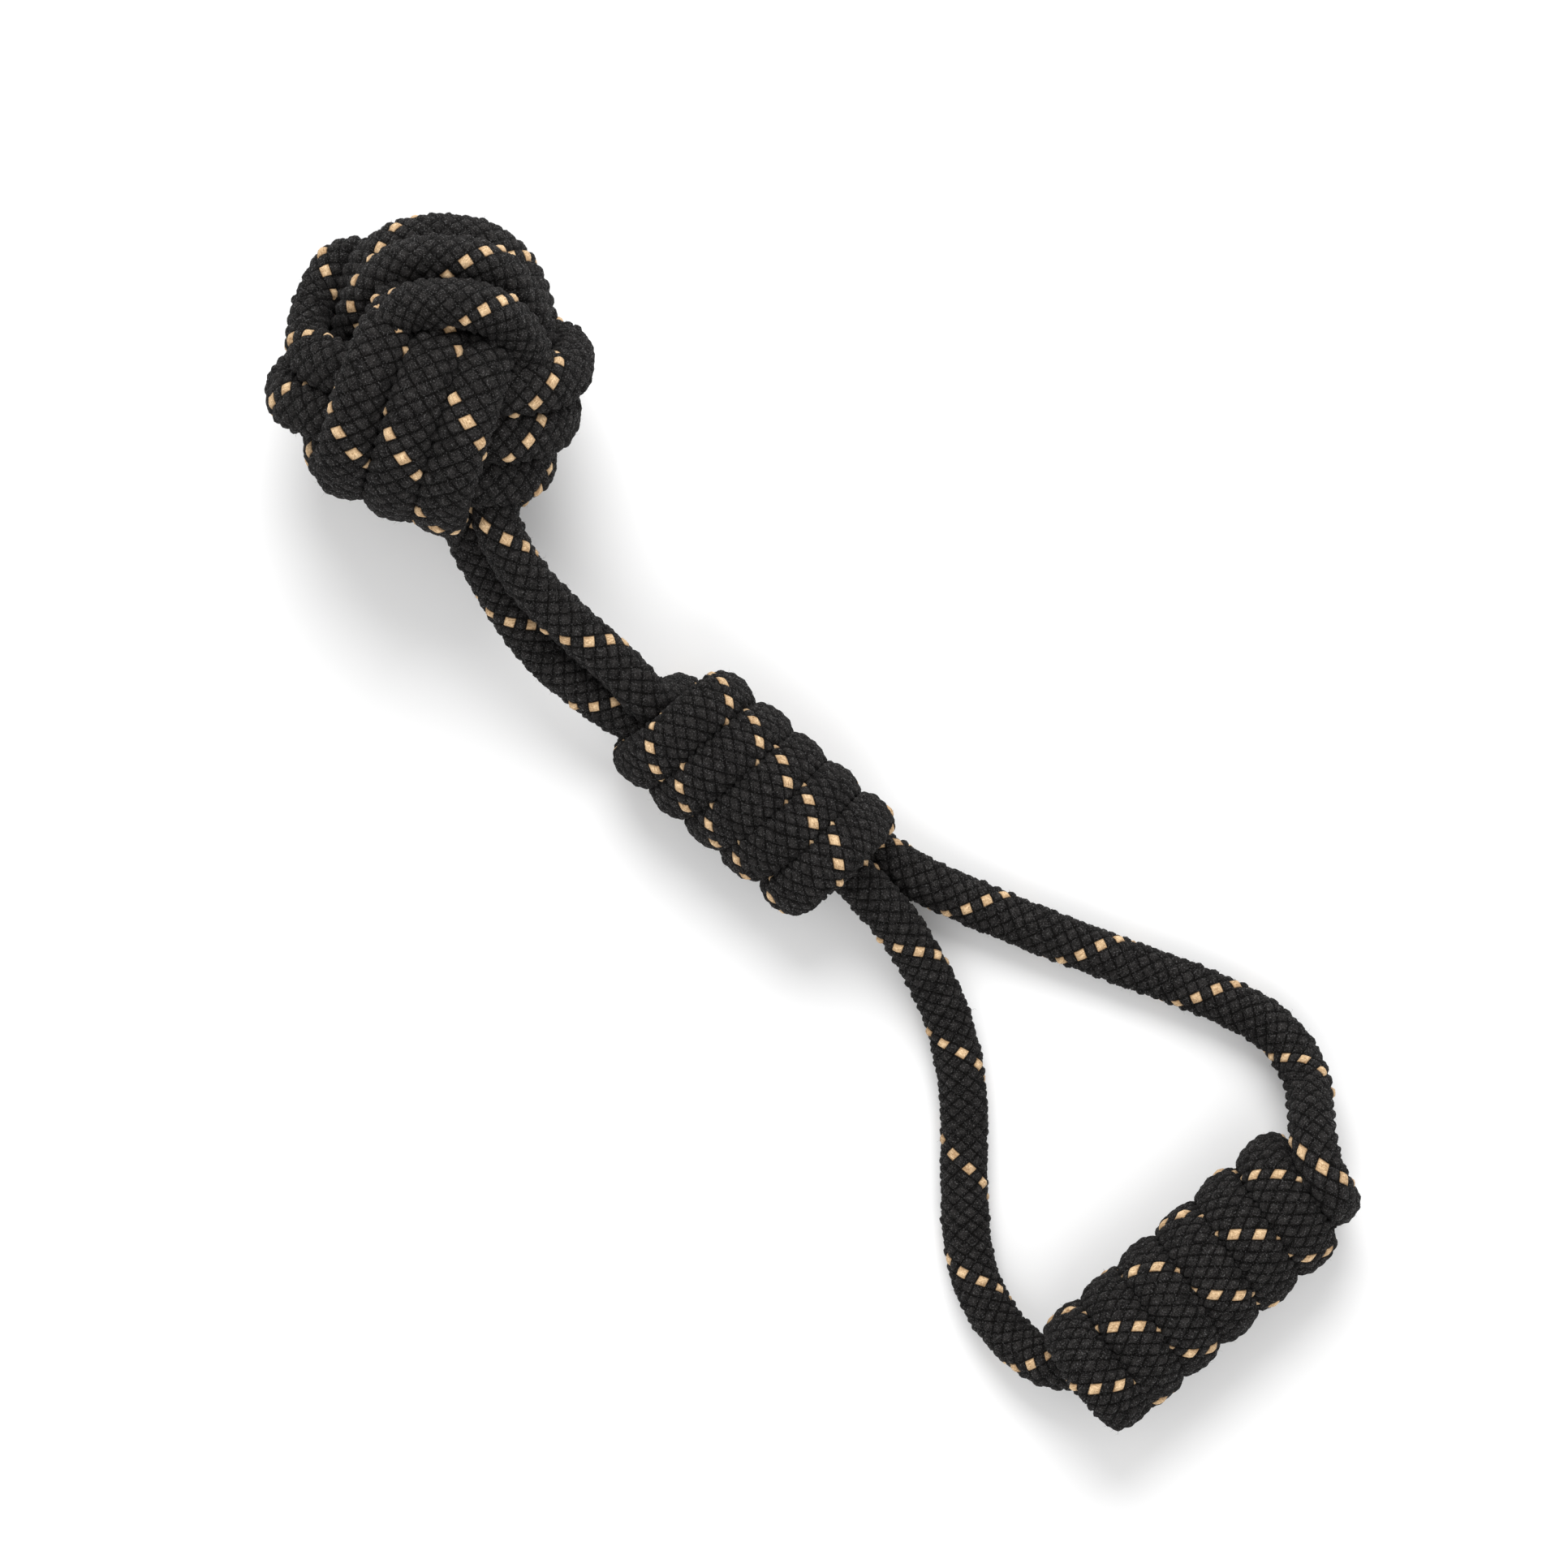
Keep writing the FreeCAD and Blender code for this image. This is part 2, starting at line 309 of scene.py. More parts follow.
def fuzz(places, radial, tangent, seed):
    """Short loose fibres that stand out of the rope: bent three-sided spikes."""
    rng = np.random.default_rng(seed)
    rings, spokes = places.shape[:2]
    count = int(rings * PITCH / AROUND * FIBRES_PER_MM)
    r = rng.integers(0, rings, count)
    s = rng.integers(0, spokes, count)
    root = places[r, s] - radial[r, s] * FIBRE_ROOT
    out, ahead = radial[r, s], tangent[r]
    around = np.cross(out, ahead)
    lean = rng.normal(0.0, FIBRE_LEAN, (count, 1))
    drift = rng.normal(0.0, FIBRE_LEAN, (count, 1))
    heading = unit(out + ahead * lean + around * drift)
    curl = unit(out * rng.normal(0.0, 1.0, (count, 1)) + ahead * rng.normal(0.0, 1.0, (count, 1))
                + around * rng.normal(0.0, 1.0, (count, 1)))
    long = np.clip(rng.lognormal(math.log(FIBRE_LONG), FIBRE_LONG_SPREAD, (count, 1)),
                   *FIBRE_LONG_LIMITS)
    bend_at = root + heading * long * FIBRE_BEND
    tip = root + unit(heading + curl * FIBRE_CURL) * long
    thick = rng.uniform(*FIBRE_THICK, (count, 1))
    level = unit(np.cross(heading, around + 0.01))
    other = np.cross(heading, level)
    verts = []
    for base, width in ((root, 1.0), (bend_at, FIBRE_TAPER)):
        for k in range(3):
            turn = 2 * math.pi * k / 3
            verts.append(base + (level * math.cos(turn) + other * math.sin(turn)) * thick * width)
    verts.append(tip)
    verts = np.stack(verts, axis=1).reshape(-1, 3)
    base = 7 * np.arange(count)[:, None]
    quads = [base + np.array([k, (k + 1) % 3, (k + 1) % 3 + 3, k + 3]) for k in range(3)]
    tris = [base + np.array([k + 3, (k + 1) % 3 + 3, 6]) for k in range(3)]
    tris.append(base + np.array([2, 1, 0]))
    quads, tris = np.vstack(quads), np.vstack(tris)
    yarn = np.tile(np.array([0.5, 0.5, 1.0]), (len(quads), 4, 1))
    return verts, quads, tris, np.zeros(len(quads), bool), yarn


def make_piece(name, parts, materials):
    """One mesh object, in metres, of several meshes' vertices and faces.

    The second material goes on the quads that are flagged as tracer."""
    mesh = bpy.data.meshes.new(name)
    verts = np.vstack([p[0] for p in parts]) * MM
    base = np.cumsum([0] + [len(p[0]) for p in parts])
    quads = np.vstack([p[1] + b for p, b in zip(parts, base)])
    tris = np.vstack([p[2] + b for p, b in zip(parts, base)])
    corners = np.concatenate([quads.ravel(), tris.ravel()])
    starts = np.concatenate([np.arange(len(quads)) * 4,
                             4 * len(quads) + np.arange(len(tris)) * 3])
    mesh.vertices.add(len(verts))
    mesh.vertices.foreach_set("co", verts.ravel())
    mesh.loops.add(len(corners))
    mesh.loops.foreach_set("vertex_index", corners.astype(np.int32))
    mesh.polygons.add(len(starts))
    mesh.polygons.foreach_set("loop_start", starts.astype(np.int32))
    mesh.polygons.foreach_set("use_smooth", np.ones(len(starts), bool))
    kinds = np.concatenate([p[3] for p in parts] + [np.zeros(len(tris), bool)])
    for material in materials:
        mesh.materials.append(material)
    mesh.polygons.foreach_set("material_index", kinds.astype(np.int32))
    yarn = np.vstack([p[4].reshape(-1, 3) for p in parts] + [np.zeros((3 * len(tris), 3))])
    attribute = mesh.attributes.new("yarn", "FLOAT_VECTOR", "CORNER")
    attribute.data.foreach_set("vector", yarn.astype(np.float32).ravel())
    mesh.update(calc_edges=True)
    mesh.validate()
    obj = bpy.data.objects.new(name, mesh)
    bpy.context.scene.collection.objects.link(obj)
    return obj


# ---------------------------------------------------------------- materials

GROOVE_SHADE = (0.0030, 0.0026, 0.0023)      # painted shade where yarns meet, in the grooves between them
FIBRE_NOISE = (20.0, 2.4, 1.0)         # noise across a yarn, along it and from yarn to yarn
LINT_NOISE = 2400.0                    # noise for each metre: lint, and cloudy colour
CLOUD_NOISE = 330.0
CLOUD_SHARE = 0.28                     # share of the cloud in the colour
TONE_LEFT_IN_GROOVE_SHADE = 0.3                      # share of the tone that is left beside a groove: painted shade that darkens each yarn towards its edges
LINT_GLINTS = (0.56, 0.68)             # lint from no glint to full glint
MATT, GLOSSY = 0.85, 0.42              # roughness without and with a glint
FAINT_SHINE = 0.06                     # specular level without a glint
MIX_FIRST, MIX_SECOND, MIX_RESULT = 6, 7, 2    # colour sockets of the Mix node


def node(tree, kind, **values):
    made = tree.nodes.new(kind)
    for key, value in values.items():
        setattr(made, key, value)
    return made


def noise(tree, vector, scale, detail):
    made = node(tree, "ShaderNodeTexNoise")
    made.inputs["Scale"].default_value = scale
    made.inputs["Detail"].default_value = detail
    tree.links.new(vector, made.inputs["Vector"])
    return made.outputs["Fac"]


def ranged(tree, value, source, target=(0.0, 1.0)):
    """The value carried from one range to another, and kept inside it."""
    made = node(tree, "ShaderNodeMapRange")
    for socket, number in (("From Min", source[0]), ("From Max", source[1]),
                           ("To Min", target[0]), ("To Max", target[1])):
        made.inputs[socket].default_value = number
    tree.links.new(value, made.inputs["Value"])
    return made.outputs["Result"]


def combined(tree, operation, first, second):
    made = node(tree, "ShaderNodeMath", operation=operation)
    for socket, value in zip(made.inputs, (first, second)):
        if isinstance(value, float):
            socket.default_value = value
        else:
            tree.links.new(value, socket)
    return made.outputs["Value"]


def ramp(tree, value, dark, light, ends=(0.0, 1.0)):
    made = node(tree, "ShaderNodeValToRGB")
    for element, end, colour in zip(made.color_ramp.elements, ends, (dark, light)):
        element.position = end
        element.color = (*colour, 1.0)
    tree.links.new(value, made.inputs["Fac"])
    return made.outputs["Color"]


def roughen(tree, shader, height, depth):
    """Bump from a height of 0 to 1 that stands for depth."""
    bump = node(tree, "ShaderNodeBump")
    bump.inputs["Strength"].default_value = 1.0
    bump.inputs["Distance"].default_value = depth * MM
    tree.links.new(height, bump.inputs["Height"])
    tree.links.new(bump.outputs["Normal"], shader.inputs["Normal"])


def new_material(name):
    material = bpy.data.materials.new(name)
    material.use_nodes = True
    return material, material.node_tree, material.node_tree.nodes["Principled BSDF"]


def yarn_material(name, dark, light, glint, sheen, fibre_depth):
    """Spun yarn: fine fibres along it, painted shade in the grooves beside it, lint and glints.
    """
    material, tree, shader = new_material(name)
    link = tree.links.new
    shader.inputs["Sheen Weight"].default_value = sheen
    shader.inputs["Sheen Roughness"].default_value = 0.4
    yarn = node(tree, "ShaderNodeAttribute", attribute_name="yarn")
    place = node(tree, "ShaderNodeTexCoord").outputs["Object"]

    fibres = node(tree, "ShaderNodeMapping")
    fibres.inputs["Scale"].default_value = FIBRE_NOISE
    link(yarn.outputs["Vector"], fibres.inputs["Vector"])
    lines = noise(tree, fibres.outputs["Vector"], 1.0, 3.0)
    lint = noise(tree, place, LINT_NOISE, 4.0)
    cloud = noise(tree, place, CLOUD_NOISE, 3.0)
    surface = combined(tree, "ADD", combined(tree, "MULTIPLY", lines, 0.5),
                       combined(tree, "MULTIPLY", lint, 0.5))

    # width and length are 0 at a yarn's edges and 0.5 along its middle
    parts = node(tree, "ShaderNodeSeparateXYZ")
    link(yarn.outputs["Vector"], parts.inputs["Vector"])
    width = combined(tree, "PINGPONG", parts.outputs["X"], 0.5)
    length = combined(tree, "PINGPONG", parts.outputs["Y"], 0.5)
    # crown darkens the tone towards a yarn's edges and the next mask mixes in the groove colour:
    # both are painted shade in the creases between yarns
    crown = combined(tree, "MULTIPLY", ranged(tree, width, (0.02, 0.30)),
                     ranged(tree, length, (0.0, 0.22), (0.25, 1.0)))
    groove_shade_mask = combined(tree, "MULTIPLY", ranged(tree, width, (0.02, 0.12)),
                    ranged(tree, length, (0.02, 0.10)))

    tone = combined(tree, "ADD", combined(tree, "MULTIPLY", surface, 1 - CLOUD_SHARE),
                    combined(tree, "MULTIPLY", cloud, CLOUD_SHARE))
    tone = combined(tree, "MULTIPLY", ranged(tree, tone, (0.38, 0.62)),
                    ranged(tree, crown, (0.0, 1.0), (TONE_LEFT_IN_GROOVE_SHADE, 1.0)))
    # the Mix lays a painted groove shade over the yarn's own tone at its edges
    shaded = node(tree, "ShaderNodeMix", data_type="RGBA")
    link(groove_shade_mask, shaded.inputs["Factor"])
    shaded.inputs[MIX_FIRST].default_value = (*GROOVE_SHADE, 1.0)
    link(ramp(tree, tone, dark, light), shaded.inputs[MIX_SECOND])
    link(shaded.outputs[MIX_RESULT], shader.inputs["Base Color"])

    sparkle = ranged(tree, lint, LINT_GLINTS)
    link(ranged(tree, sparkle, (0.0, 1.0), (MATT, GLOSSY)), shader.inputs["Roughness"])
    link(ranged(tree, sparkle, (0.0, 1.0), (FAINT_SHINE, glint)),
         shader.inputs["Specular IOR Level"])
    roughen(tree, shader, surface, fibre_depth)
    return material


def plain_material(name, dark, light, roughness, grain, depth):
    """Moulded or melted stuff: cloudy colour and a fine uneven surface."""
    material, tree, shader = new_material(name)
    place = node(tree, "ShaderNodeTexCoord").outputs["Object"]
    cloud = noise(tree, place, grain, 4.0)
    tree.links.new(ramp(tree, cloud, dark, light, (0.35, 0.65)), shader.inputs["Base Color"])
    tree.links.new(ranged(tree, cloud, (0.3, 0.7), (roughness - 0.1, roughness + 0.1)),
                   shader.inputs["Roughness"])
    roughen(tree, shader, cloud, depth)
    return material


# The darker end of each yarn's tone also carries the painted shade beside its grooves.
black = yarn_material("rope_yarn_black", dark=(0.0024, 0.0023, 0.0023),
                      light=(0.036, 0.0335, 0.0325), glint=0.80, sheen=0.02, fibre_depth=0.60)
tan = yarn_material("rope_yarn_tan", dark=(0.30, 0.175, 0.085), light=(0.90, 0.66, 0.40),
                    glint=0.30, sheen=0.04, fibre_depth=0.30)
yarns = (black, tan)
rubber = plain_material("core_rubber", dark=(0.07, 0.06, 0.055), light=(0.13, 0.12, 0.11),
                        roughness=0.75, grain=400.0, depth=0.15)
melted = plain_material("melted_rope_end", dark=(0.008, 0.008, 0.008),
                        light=(0.03, 0.029, 0.028), roughness=0.45, grain=900.0, depth=0.3)

# ---------------------------------------------------------------- free strands

# Routes' control points, from a hidden start in one knot to a hidden end in the next
NECK_WRAP_STRAND = [(-118.0, -9.0, 49.0), (-110.8, -12.6, 50.5), (-101.0, -17.4, 48.0),
                    (-88.0, -20.0, 42.8), (-69.0, -18.6, 35.0), (-54.0, -16.2, 30.0),
                    (-44.0, -16.6, 28.0), (-38.5, -15.0, 25.0), (-38.0, -10.5, 17.0),
                    (-38.4, -8.5, 8.0), (-38.0, -15.0, 7.9)]
NECK_CORE_STRAND = [(-118.0, -19.0, 44.0), (-110.0, -22.8, 41.5), (-99.0, -25.4, 36.5),
                    (-86.5, -28.2, 31.0), (-69.0, -29.6, 25.0), (-50.0, -25.8, 20.5),
                    (-38.0, -21.5, 20.5), (-27.0, -14.0, 20.7)]
RIGHT_LEG = [(15.0, 0.5, 12.0), (33.0, 3.4, 11.5), (56.0, 13.5, 8.2), (85.5, 28.7, 6.9),
             (115.5, 45.6, 6.9), (135.6, 53.9, 7.1), (151.5, 51.0, 13.0),
             (160.0, 43.0, 28.0), (169.5, 36.8, 33.5), (178.8, 35.0, 31.0),
             (181.0, 34.2, 20.5), (178.5, 33.4, 9.5)]
LEFT_LEG = [(16.0, -6.5, 20.7), (34.0, -5.2, 20.0), (53.0, -5.7, 14.0), (74.8, -11.2, 8.0),
            (92.3, -20.9, 6.9), (109.4, -36.1, 6.9), (127.8, -50.9, 7.2),
            (144.5, -56.0, 8.5), (157.0, -55.2, 11.5), (167.5, -50.4, 16.0),
            (171.0, -41.0, 19.4)]
LEG_CUT_X = 100.5          # where a leg's near piece meets its far one


def neck_strand(name, points, tracer_at, pitch, seed):
    line = nurbs_line(points)
    parts = braid(line, carried(line, UPWARD), phase=nearest(line, *tracer_at), pitch=pitch,
                  seed=seed)
    piece = make_piece(name, parts, yarns)
    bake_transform(piece)
    return piece


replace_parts(neck_strand("neck_wrap_rope", NECK_WRAP_STRAND, tracer_at=(-67.7, -18.5),
                        pitch=37.5, seed=1), "neck_wrap_strand")
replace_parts(neck_strand("neck_core_rope", NECK_CORE_STRAND, tracer_at=(-50.6, -26.8),
                        pitch=33.5, seed=2), "neck_core_strand")


def leg(side, points, tracer_at, pitch, seed):
    """A leg's near and far pieces, of one braid."""
    line = nurbs_line(points)
    at = lengths(line)
    cut = np.interp(LEG_CUT_X, line[:, 0], at)
    parts = braid(line, carried(line, UPWARD), phase=nearest(line, *tracer_at), pitch=pitch,
                  seed=seed, cut=cut)
    pieces = []
    for half, chosen, keep in (("near", parts[:2], at <= cut), ("far", parts[2:], at >= cut)):
        piece = make_piece("%s_leg_%s_rope" % (side, half), chosen, yarns)
        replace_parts(piece, "%s_leg_%s" % (side, half))
        pieces.append(piece)
    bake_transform(pieces[0])
    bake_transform(pieces[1])
    return pieces


right_leg = leg("right", RIGHT_LEG, tracer_at=(115.2, 46.2), pitch=33.5, seed=3)
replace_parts(right_leg[1], "grip_lead_strand")
leg("left", LEFT_LEG, tracer_at=(108.4, -34.8), pitch=31.5, seed=4)

# ---------------------------------------------------------------- wound knots

PER_TURN = 180             # points on each turn of a winding


def smooth(values, where):
    """A smooth line through evenly spaced values, at the places in where."""
    values = np.array(values)
    values = np.concatenate([[2 * values[0] - values[1]], values,
                             [2 * values[-1] - values[-2]]])
    i = np.clip(np.floor(where).astype(int), 0, len(values) - 4)
    f = where - i
    p, q, r, t = (values[i + k] for k in range(4))
    return 0.5 * (2 * q + (r - p) * f + (2 * p - 5 * q + 4 * r - t) * f ** 2
                  + (3 * q - p - 3 * r + t) * f ** 3)


def winding(centre, along, side, radius, stations, begin, finish, tuck=(0.0, 0.0)):
    """Middle line and outward normals of turns that start beside the axis and go under.

    stations are how far along the axis the rope is after each quarter of a turn. The
    rope is there from turn number begin to finish. tuck is how far its first and its last
    quarter of a turn draw in to the axis."""
    turn = np.arange(begin, finish + 1e-9, 1 / PER_TURN)
    angle = turn * 2 * math.pi
    travel = smooth(stations, 4 * turn)
    outward = side * np.cos(angle)[:, None] - np.array(UPWARD) * np.sin(angle)[:, None]
    first = np.clip(1 - 4 * (turn - turn[0]), 0.0, 1.0)
    last = np.clip(1 - 4 * (turn[-1] - turn), 0.0, 1.0)
    distance = radius - tuck[0] * first ** 2 - tuck[1] * last ** 2
    return centre + along * travel[:, None] + outward * distance[:, None], outward


def quarters(beside, beneath, beyond, above):
    """Stations in the order that the rope passes them."""
    rows = [list(row) for row in zip(beside, beneath, beyond, above)]
    return sum(rows, []) + [beside[-1]]


def wound_piece(name, line, outward, core, tracer_turn, pitch, wide, high, pressed, seed):
    """A winding's mesh and its core's. tracer_turn is how many turns after the line's start
    the tracer faces outward."""
    phase = lengths(line)[int(round(tracer_turn * PER_TURN))]
    parts = braid(line, outward, phase=phase, pitch=pitch, outside=high / 2, wide=wide,
                  high=high, pressed=pressed, seed=seed)
    parts += braid(core, carried(core, UPWARD), wide=CORE_ROPE, high=CORE_ROPE, seed=seed + 50)
    piece = make_piece(name, parts, yarns)
    return piece


BARREL_SWING = math.radians(8.2)
BARREL_ALONG = np.array([math.cos(BARREL_SWING), math.sin(BARREL_SWING), 0.0])
BARREL_ACROSS = np.array([-math.sin(BARREL_SWING), math.cos(BARREL_SWING), 0.0])
BARREL_CENTRE = np.array([-5.5, -10.7, 20.7])
BARREL_WINDING = 14.2      # from the axis to the middle of the rope
BARREL_BEGIN, BARREL_FINISH = 0.18, 5.0
BARREL_STATIONS = quarters(beside=(-35.0, -22.0, -8.6, 3.3, 15.5, 28.0),
                           beneath=(-32.3, -19.0, -5.9, 6.3, 19.8),
                           beyond=(-28.4, -15.8, -3.1, 9.3, 23.8),
                           above=(-25.4, -11.6, 1.8, 14.4, 27.0))
line, outward = winding(BARREL_CENTRE, BARREL_ALONG, BARREL_ACROSS, BARREL_WINDING,
                        BARREL_STATIONS, BARREL_BEGIN, BARREL_FINISH)
barrel_core = nurbs_line([(-27.0, -14.0, 20.7), (-5.5, -10.25, 20.7), (16.0, -6.5, 20.7)])
barrel = wound_piece("barrel_rope", line, outward, barrel_core,
                     tracer_turn=2.832 - BARREL_BEGIN, pitch=31.2, wide=14.8, high=12.4,
                     pressed=2.4, seed=5)
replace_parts(barrel, "barrel_core_strand", *["barrel_turn_%d" % n for n in range(1, 6)])
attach(barrel, "barrel")

GRIP_ALONG = np.array([0.0, 1.0, 0.0])
GRIP_ACROSS = np.array([1.0, 0.0, 0.0])
GRIP_CENTRE = np.array([172.2, 0.0, 19.4])
GRIP_WINDING = 12.8
GRIP_TUCK = (3.0, 4.5)
GRIP_BEGIN, GRIP_FINISH = 0.1, 6.13
GRIP_STATIONS = quarters(beside=(34.5, 20.6, 6.6, -7.6, -20.8, -33.8, -43.4),
                         beneath=(29.9, 16.4, 2.7, -11.3, -24.7, -38.5),
                         beyond=(27.4, 12.6, -1.2, -15.0, -28.3, -41.2),
                         above=(23.6, 10.5, -3.0, -16.8, -30.3, -44.4)) + [-42.6]
line, outward = winding(GRIP_CENTRE, GRIP_ALONG, GRIP_ACROSS, GRIP_WINDING, GRIP_STATIONS,
                        GRIP_BEGIN, GRIP_FINISH, GRIP_TUCK)
grip_core = nurbs_line([(172.2, -43.0, 19.4), (172.2, -4.5, 19.4), (172.2, 34.0, 19.4)])
grip = wound_piece("grip_rope", line, outward, grip_core,
                   tracer_turn=2.817 - GRIP_BEGIN, pitch=32.0, wide=15.4, high=11.8,
                   pressed=2.6, seed=6)
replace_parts(grip, "grip_core_strand", *["grip_turn_%d" % n for n in range(1, 7)])
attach(grip, "grip")

# Reach and height of a seal's rings, from inside the rope to its dome
SEAL_PROFILE = ((5.2, -1.5), (5.7, -1.1), (5.9, 0.0), (5.8, 0.7), (5.2, 1.2), (3.6, 1.6),
                (1.8, 1.8))
SEAL_DOME = 0.1            # height of the dome's middle over its last ring
SEAL_SPOKES = 48
SEAL_LUMPS = 0.03          # slow unevenness of the reach, as a share of it
SEAL_ROUGHNESS = 0.05
SEAL_SEED = 18
ASKEW = (0.31, 0.17, 0.93)     # a direction that no rope end has


def seal_piece(name, end, before):
    """A rope end melted and pressed to a lumpy, domed disc. before is a point just inside."""
    rng = np.random.default_rng(SEAL_SEED)
    axis = unit(end - before)
    level = unit(np.cross(axis, ASKEW))
    other = np.cross(axis, level)
    turn = np.arange(SEAL_SPOKES) * 2 * math.pi / SEAL_SPOKES
    lumps = wobble(turn, 3, wave=2 * math.pi)
    rows = []
    for reach, height in SEAL_PROFILE:
        radius = reach * (1 + SEAL_LUMPS * lumps) + rng.normal(0.0, SEAL_ROUGHNESS, SEAL_SPOKES)
        rise = height + rng.normal(0.0, SEAL_ROUGHNESS, SEAL_SPOKES)
        rows.append(end + level * (radius * np.cos(turn))[:, None]
                    + other * (radius * np.sin(turn))[:, None] + axis * rise[:, None])
    hubs = [end + axis * SEAL_PROFILE[0][1], end + axis * (SEAL_PROFILE[-1][1] + SEAL_DOME)]
    verts = np.vstack(rows + [hubs])
    spokes, top = np.arange(SEAL_SPOKES), SEAL_SPOKES * (len(SEAL_PROFILE) - 1)
    after = (spokes + 1) % SEAL_SPOKES
    quads = np.vstack([np.stack([spokes + b, after + b, after + b + SEAL_SPOKES,
                                 spokes + b + SEAL_SPOKES], 1)
                       for b in range(0, top, SEAL_SPOKES)])
    hub = np.full(SEAL_SPOKES, len(verts) - 2)
    tris = np.vstack([np.stack([hub, after, spokes], 1),
                      np.stack([hub + 1, spokes + top, after + top], 1)])
    part = (verts, quads, tris, np.zeros(len(quads), bool), np.zeros((len(quads), 4, 3)))
    piece = make_piece(name + "_melted", [part], (melted,))
    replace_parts(piece, name)
    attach(piece, "grip")


seal_piece("grip_wrap_end_seal", line[-1], line[-4])
seal_piece("grip_core_end_seal", grip_core[-1], grip_core[-4])

# ---------------------------------------------------------------- monkey's fist

FIST_CENTRE = np.array([-144.2, -3.3, 45.5])
FIST_SQUARE = 2.4          # squareness of a turn: 2 is an oval
FIST_WIDE = {"upright": 15.4, "crown": 15.6, "belt": 15.0}
FIST_HIGH = 12.0
FIST_PITCH = 41.0
FIST_POINTS = 721          # points round a turn
FIST_GATHER = 0.08         # share by which a turn's offset is less at its front and back
LIFT_AT, LIFT_SPREAD = 2.45, 0.6       # where round a turn lift raises it, in radians


def fist_turn(normal, outer, offset, far, near, slide=0.0, lift=0.0, swing=0.0):
    """One turn of the fist: outside another pass along outer, inside along inner.

    far and near are its reach along outer and along inner, forwards and backwards. slide
    moves it along inner, lift raises the corner between its far side and its back, and
    swing moves its far side, both along normal."""
    inner = np.cross(normal, outer)
    t = np.linspace(0.0, 2 * math.pi, FIST_POINTS)
    power = 2 / FIST_SQUARE
    c, s = np.cos(t), np.sin(t)
    out = np.where(c > 0, far[0], far[1]) * np.sign(c) * np.abs(c) ** power
    side = np.where(s > 0, near[0], near[1]) * np.sign(s) * np.abs(s) ** power + slide
    along = offset * (1 - FIST_GATHER * s * s)
    along = along + lift * np.exp(-((t - LIFT_AT) / LIFT_SPREAD) ** 2)
    along = along + swing * (1 - c) / 2
    line = FIST_CENTRE + outer * out[:, None] + inner * side[:, None] + normal * along[:, None]
    at = lengths(line)
    line = sampled(line, at, np.linspace(0.0, at[-1], FIST_POINTS))
    line[-1] = line[0]
    outward = np.cross(ring_tangents(line), normal)
    outward *= np.sign((outward * (line[:-1] - FIST_CENTRE)).sum(1, keepdims=True))
    return line, np.vstack([outward, outward[:1]])


# Each pass: its turns' normal, the way that they lie outside, and the turns with the place
# where each one's tracer faces the eye
FIST_PASSES = {
    "upright": ((0.864, 0.499, 0.035), (0.190, -0.391, 0.900), (
        ((-150.2, -31.4), dict(offset=-14.5, far=(35.8, 34.0), near=(29.0, 24.6))),
        ((-138.8, -23.0), dict(offset=0.3, far=(37.4, 36.0), near=(30.0, 24.6))),
        ((-132.8, -5.2), dict(offset=14.0, far=(35.8, 34.0), near=(30.5, 24.6))))),
    "crown": ((0.344, -0.366, 0.865), (-0.633, 0.591, 0.500), (
        ((-177.2, 14.4), dict(offset=-12.5, far=(36.2, 34.5), near=(26.5, 24.0),
                              slide=-2.0, swing=-10.0)),
        ((-176.7, 1.0), dict(offset=2.0, far=(37.6, 36.0), near=(26.5, 23.6),
                             slide=-3.5, swing=-12.0)),
        ((-166.9, -0.1), dict(offset=19.5, far=(33.8, 34.5), near=(23.4, 22.6),
                              slide=-5.5, swing=-14.0)))),
    "belt": ((-0.653, 0.663, 0.366), (0.738, 0.663, 0.119), (
        ((-106.9, 0.1), dict(offset=-20.0, far=(28.0, 28.0), near=(23.0, 23.0))),
        ((-116.8, 3.3), dict(offset=-6.3, far=(33.5, 39.0), near=(24.0, 24.0))),
        ((-122.4, 14.3), dict(offset=8.0, far=(36.2, 34.6), near=(24.6, 24.6), lift=16.0)))),
}
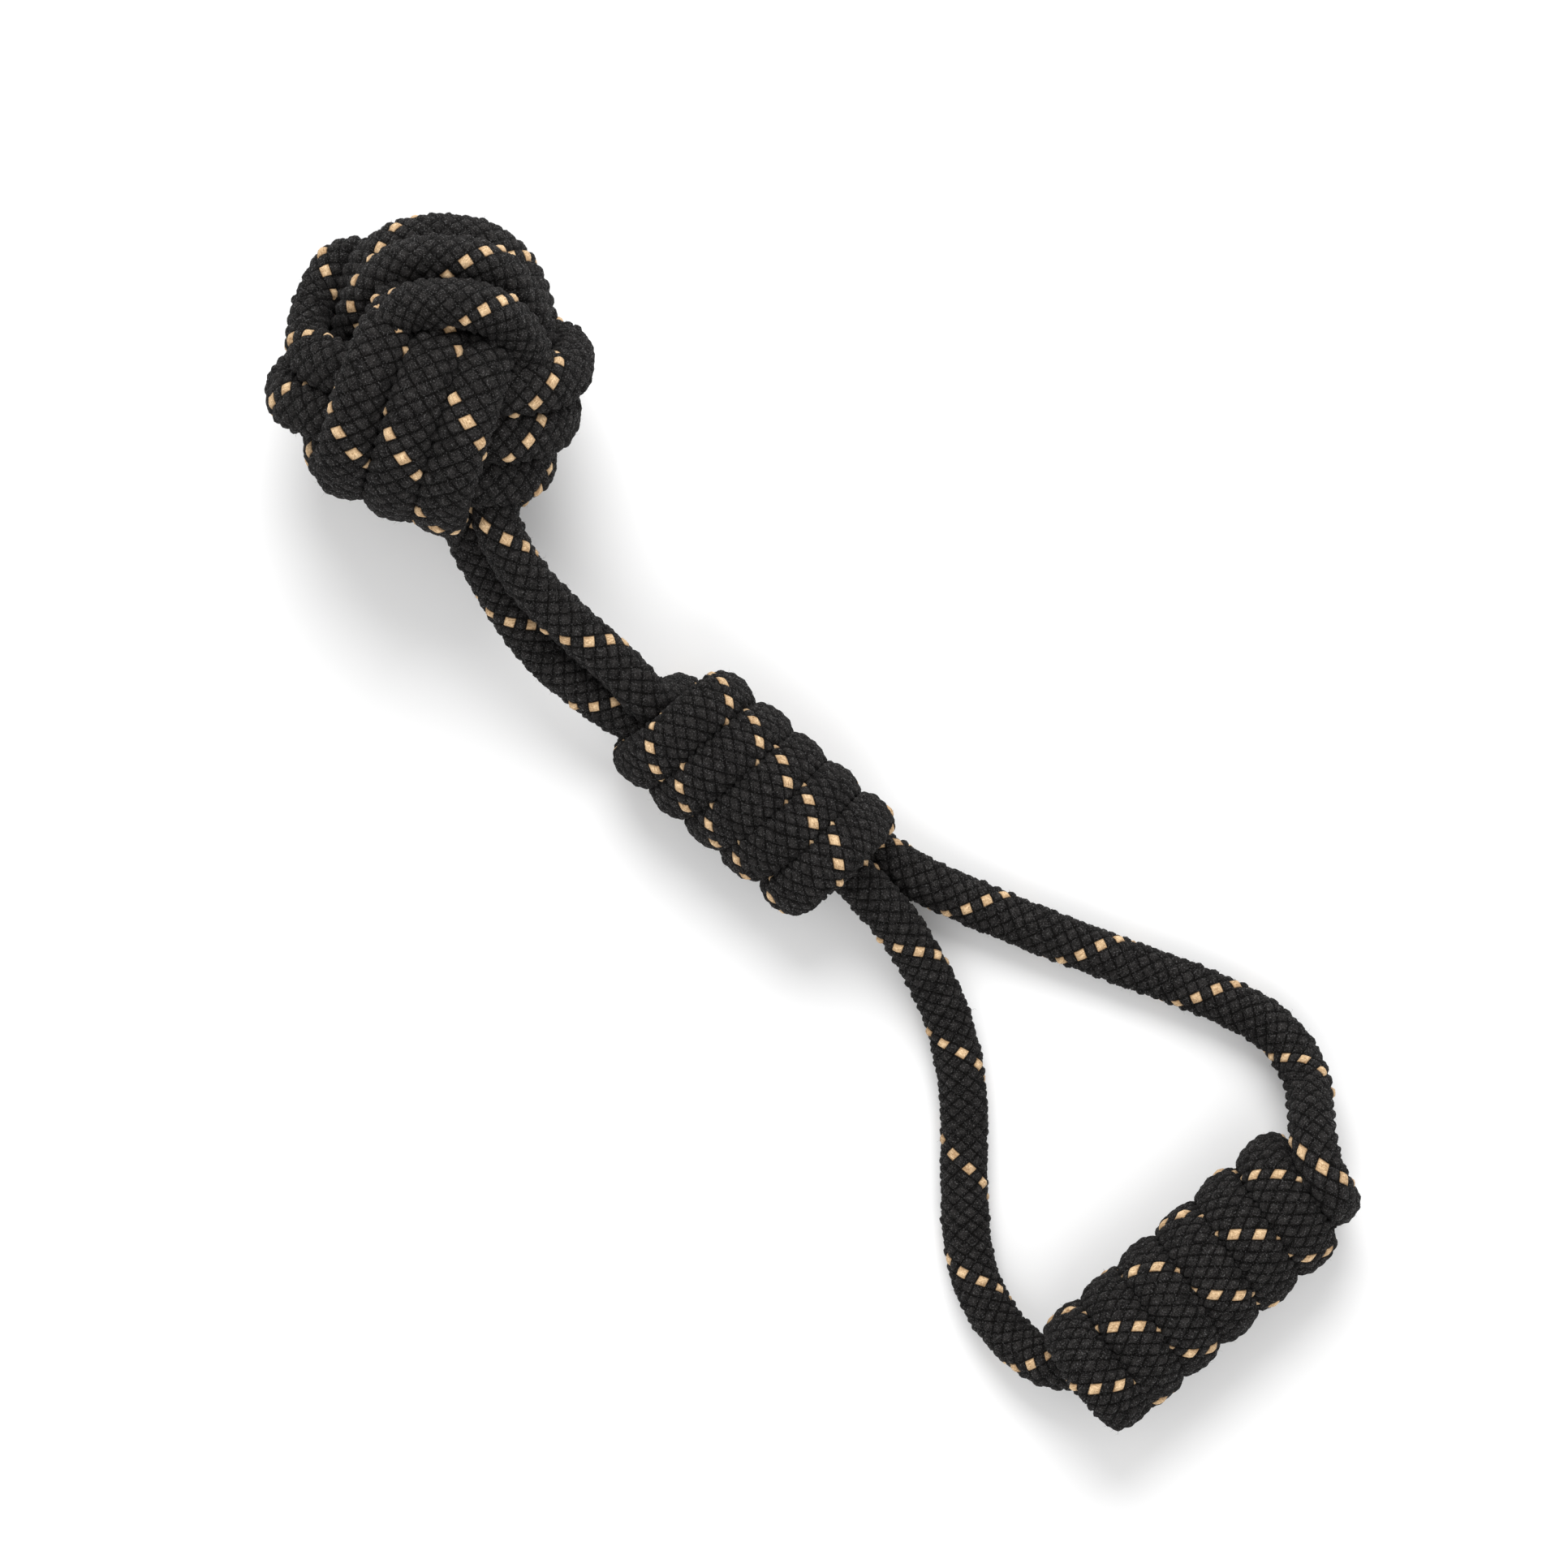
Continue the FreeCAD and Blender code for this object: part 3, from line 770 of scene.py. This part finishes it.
for number, (name, (normal, outer, turns)) in enumerate(FIST_PASSES.items()):
    normal, outer = unit(np.array(normal)), np.array(outer)
    outer = unit(outer - normal * (outer @ normal))
    parts = []
    for n, (tracer_at, shape) in enumerate(turns):
        line, outward = fist_turn(normal, outer, **shape)
        parts += braid(line, outward, closed=True,
                       phase=nearest(line, *tracer_at, low=FIST_CENTRE[2]), pitch=FIST_PITCH,
                       outside=FIST_HIGH / 2, wide=FIST_WIDE[name], high=FIST_HIGH,
                       pressed=2.4, seed=10 + 3 * number + n)
    piece = make_piece("fist_%s_rope" % name, parts, yarns)
    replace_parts(piece, *["fist_%s_turn_%d" % (name, n) for n in (1, 2, 3)])
    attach(piece, "ball")

# ---------------------------------------------------------------- hidden ball

core_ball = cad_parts["fist_core_ball"]
core_ball.data.materials.clear()
core_ball.data.materials.append(rubber)

# ---------------------------------------------------------------- floor and light, in metres

FLOOR_REACH = 4.0
FLOOR_COLOUR = (0.9, 0.9, 0.9, 1.0)
FLOOR_ROUGHNESS = 0.9
SKY_COLOUR = (1.0, 1.0, 1.0, 1.0)
SKY_STRENGTH = 0.70


def make_floor():
    mesh = bpy.data.meshes.new("floor")
    reach = FLOOR_REACH
    mesh.from_pydata([(-reach, -reach, 0), (reach, -reach, 0), (reach, reach, 0),
                      (-reach, reach, 0)], [], [(0, 1, 2, 3)])
    floor = bpy.data.objects.new("floor", mesh)
    bpy.context.scene.collection.objects.link(floor)
    material, _, shader = new_material("floor")
    shader.inputs["Base Color"].default_value = FLOOR_COLOUR
    shader.inputs["Roughness"].default_value = FLOOR_ROUGHNESS
    mesh.materials.append(material)


def make_light(name, place, size, power):
    """A round area light that faces the origin."""
    data = bpy.data.lights.new(name, "AREA")
    data.shape = "DISK"
    data.size = size
    data.energy = power
    light = bpy.data.objects.new(name, data)
    bpy.context.scene.collection.objects.link(light)
    back = unit(np.array(place))
    level = unit(np.cross((0.0, 1.0, 0.0), back))
    light.matrix_world = placed((level, np.cross(back, level), back, place))


make_floor()
make_light("key", place=(-1.1, 0.9, 1.6), size=1.4, power=37.0)
make_light("fill", place=(1.2, -0.8, 1.5), size=1.6, power=14.0)
world = bpy.data.worlds.new("studio")
world.use_nodes = True
sky = world.node_tree.nodes["Background"]
sky.inputs["Color"].default_value = SKY_COLOUR
sky.inputs["Strength"].default_value = SKY_STRENGTH
bpy.context.scene.world = world
bpy.context.scene.view_settings.view_transform = "Standard"
